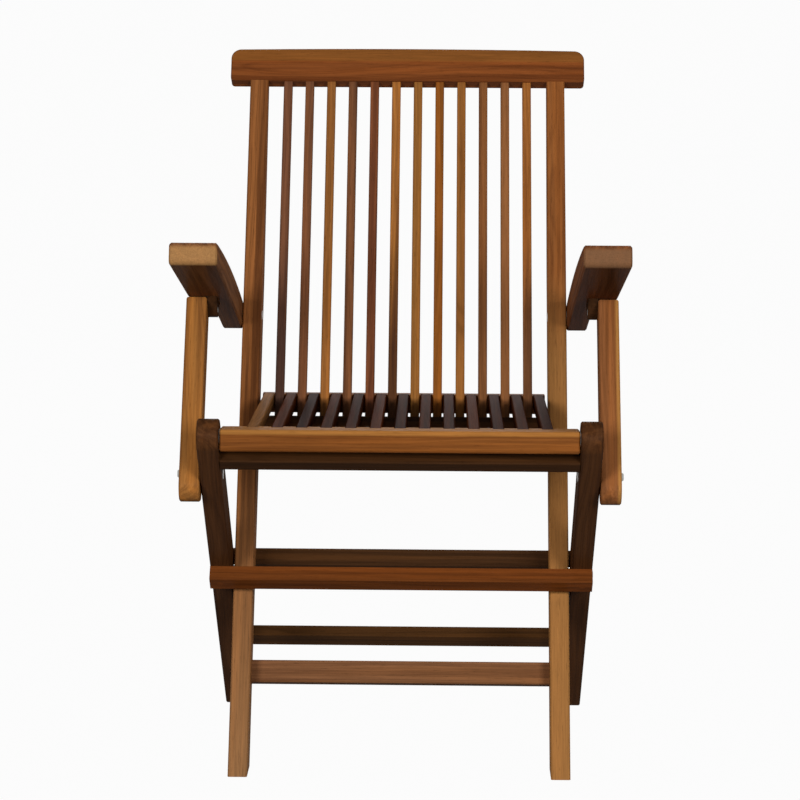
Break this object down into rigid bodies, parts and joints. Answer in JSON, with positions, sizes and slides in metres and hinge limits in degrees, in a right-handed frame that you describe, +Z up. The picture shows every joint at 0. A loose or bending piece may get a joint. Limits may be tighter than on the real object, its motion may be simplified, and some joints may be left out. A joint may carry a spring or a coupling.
{
  "type": "folding armchair",
  "caption": "Folding teak garden armchair with a slatted seat and back, crossed legs and arched arms carried on hinged posts.",
  "frame": {"origin": "middle of the chair's bounding rectangle on the floor", "axes": "+Z up; +Y from the front edge of the seat towards the back; +X to the right as seen from the front, across the chair's width"},
  "size_m": [0.5598, 0.6176, 0.9123],
  "materials": {
    "teak_frame": "oiled",
    "teak_slats": "oiled",
    "steel": "polished"
  },
  "bodies": {
    "back_frame": {"arm_hinge_bolts": "steel", "arm_hinge_washers": "steel", "back_slat_01": "teak_slats", "back_slat_02": "teak_slats", "back_slat_03": "teak_slats", "back_slat_04": "teak_slats", "back_slat_05": "teak_slats", "back_slat_06": "teak_slats", "back_slat_07": "teak_slats", "back_slat_08": "teak_slats", "back_slat_09": "teak_slats", "back_slat_10": "teak_slats", "back_slat_11": "teak_slats", "back_slat_12": "teak_slats", "front_stretcher": "teak_frame", "left_stile": "teak_frame", "lower_back_rail": "teak_frame", "right_stile": "teak_frame", "top_rail": "teak_frame"},
    "leg_frame": {"crossing_bolts": "steel", "crossing_washers": "steel", "front_stop_bar": "teak_frame", "left_rear_leg": "teak_frame", "post_sleeve_nuts": "steel", "post_washers": "steel", "rear_stop_rail": "teak_frame", "rear_stretcher": "teak_frame", "right_rear_leg": "teak_frame", "seat_hinge_washers": "steel", "stop_bar_plugs": "teak_frame", "stop_bar_screws": "steel", "under_seat_rail": "teak_frame"},
    "seat": {"seat_front_rail": "teak_frame", "seat_hinge_pins": "steel", "seat_rear_rail": "teak_frame", "seat_slat_01": "teak_slats", "seat_slat_02": "teak_slats", "seat_slat_03": "teak_slats", "seat_slat_04": "teak_slats", "seat_slat_05": "teak_slats", "seat_slat_06": "teak_slats", "seat_slat_07": "teak_slats", "seat_slat_08": "teak_slats", "seat_slat_09": "teak_slats", "seat_slat_10": "teak_slats", "seat_slat_11": "teak_slats", "seat_slat_12": "teak_slats", "seat_slat_13": "teak_slats"},
    "left_arm_set": {"left_arm": "teak_frame", "left_arm_cleat": "teak_frame", "left_post_pin": "steel"},
    "right_arm_set": {"right_arm": "teak_frame", "right_arm_cleat": "teak_frame", "right_post_pin": "steel"},
    "left_post_set": {"left_arm_post": "teak_frame", "left_post_bolt": "steel"},
    "right_post_set": {"right_arm_post": "teak_frame", "right_post_bolt": "steel"}
  },
  "joints": [
    {"name": "leg_fold", "type": "hinge", "parent": "back_frame", "child": "leg_frame", "pos_m": [0, -0.05325, 0.23521], "axis": [-1, 0, 0], "range_deg": [0, 65]},
    {"name": "seat_swing", "type": "hinge", "parent": "leg_frame", "child": "seat", "pos_m": [0, -0.27055, 0.4548], "axis": [-1, 0, 0], "range_deg": [-115.1, 0]},
    {"name": "left_arm_swing", "type": "hinge", "parent": "back_frame", "child": "left_arm_set", "pos_m": [0, 0.11966, 0.555], "axis": [-1, 0, 0], "range_deg": [0, 18.03]},
    {"name": "right_arm_swing", "type": "hinge", "parent": "back_frame", "child": "right_arm_set", "pos_m": [0, 0.11966, 0.555], "axis": [-1, 0, 0], "range_deg": [0, 18.03]},
    {"name": "left_post_swing", "type": "hinge", "parent": "left_arm_set", "child": "left_post_set", "pos_m": [0, -0.0931, 0.58928], "axis": [-1, 0, 0], "range_deg": [-75.61, 0]},
    {"name": "right_post_swing", "type": "hinge", "parent": "right_arm_set", "child": "right_post_set", "pos_m": [0, -0.0931, 0.58928], "axis": [-1, 0, 0], "range_deg": [-75.61, 0]}
  ],
  "couplings": [
    {"joint": "seat_swing", "follows": "leg_fold", "ratio": -1.77},
    {"joint": "left_arm_swing", "follows": "leg_fold", "ratio": 0.2766},
    {"joint": "right_arm_swing", "follows": "leg_fold", "ratio": 0.2766},
    {"joint": "left_post_swing", "follows": "leg_fold", "ratio": -1.1625},
    {"joint": "right_post_swing", "follows": "leg_fold", "ratio": -1.1625}
  ]
}
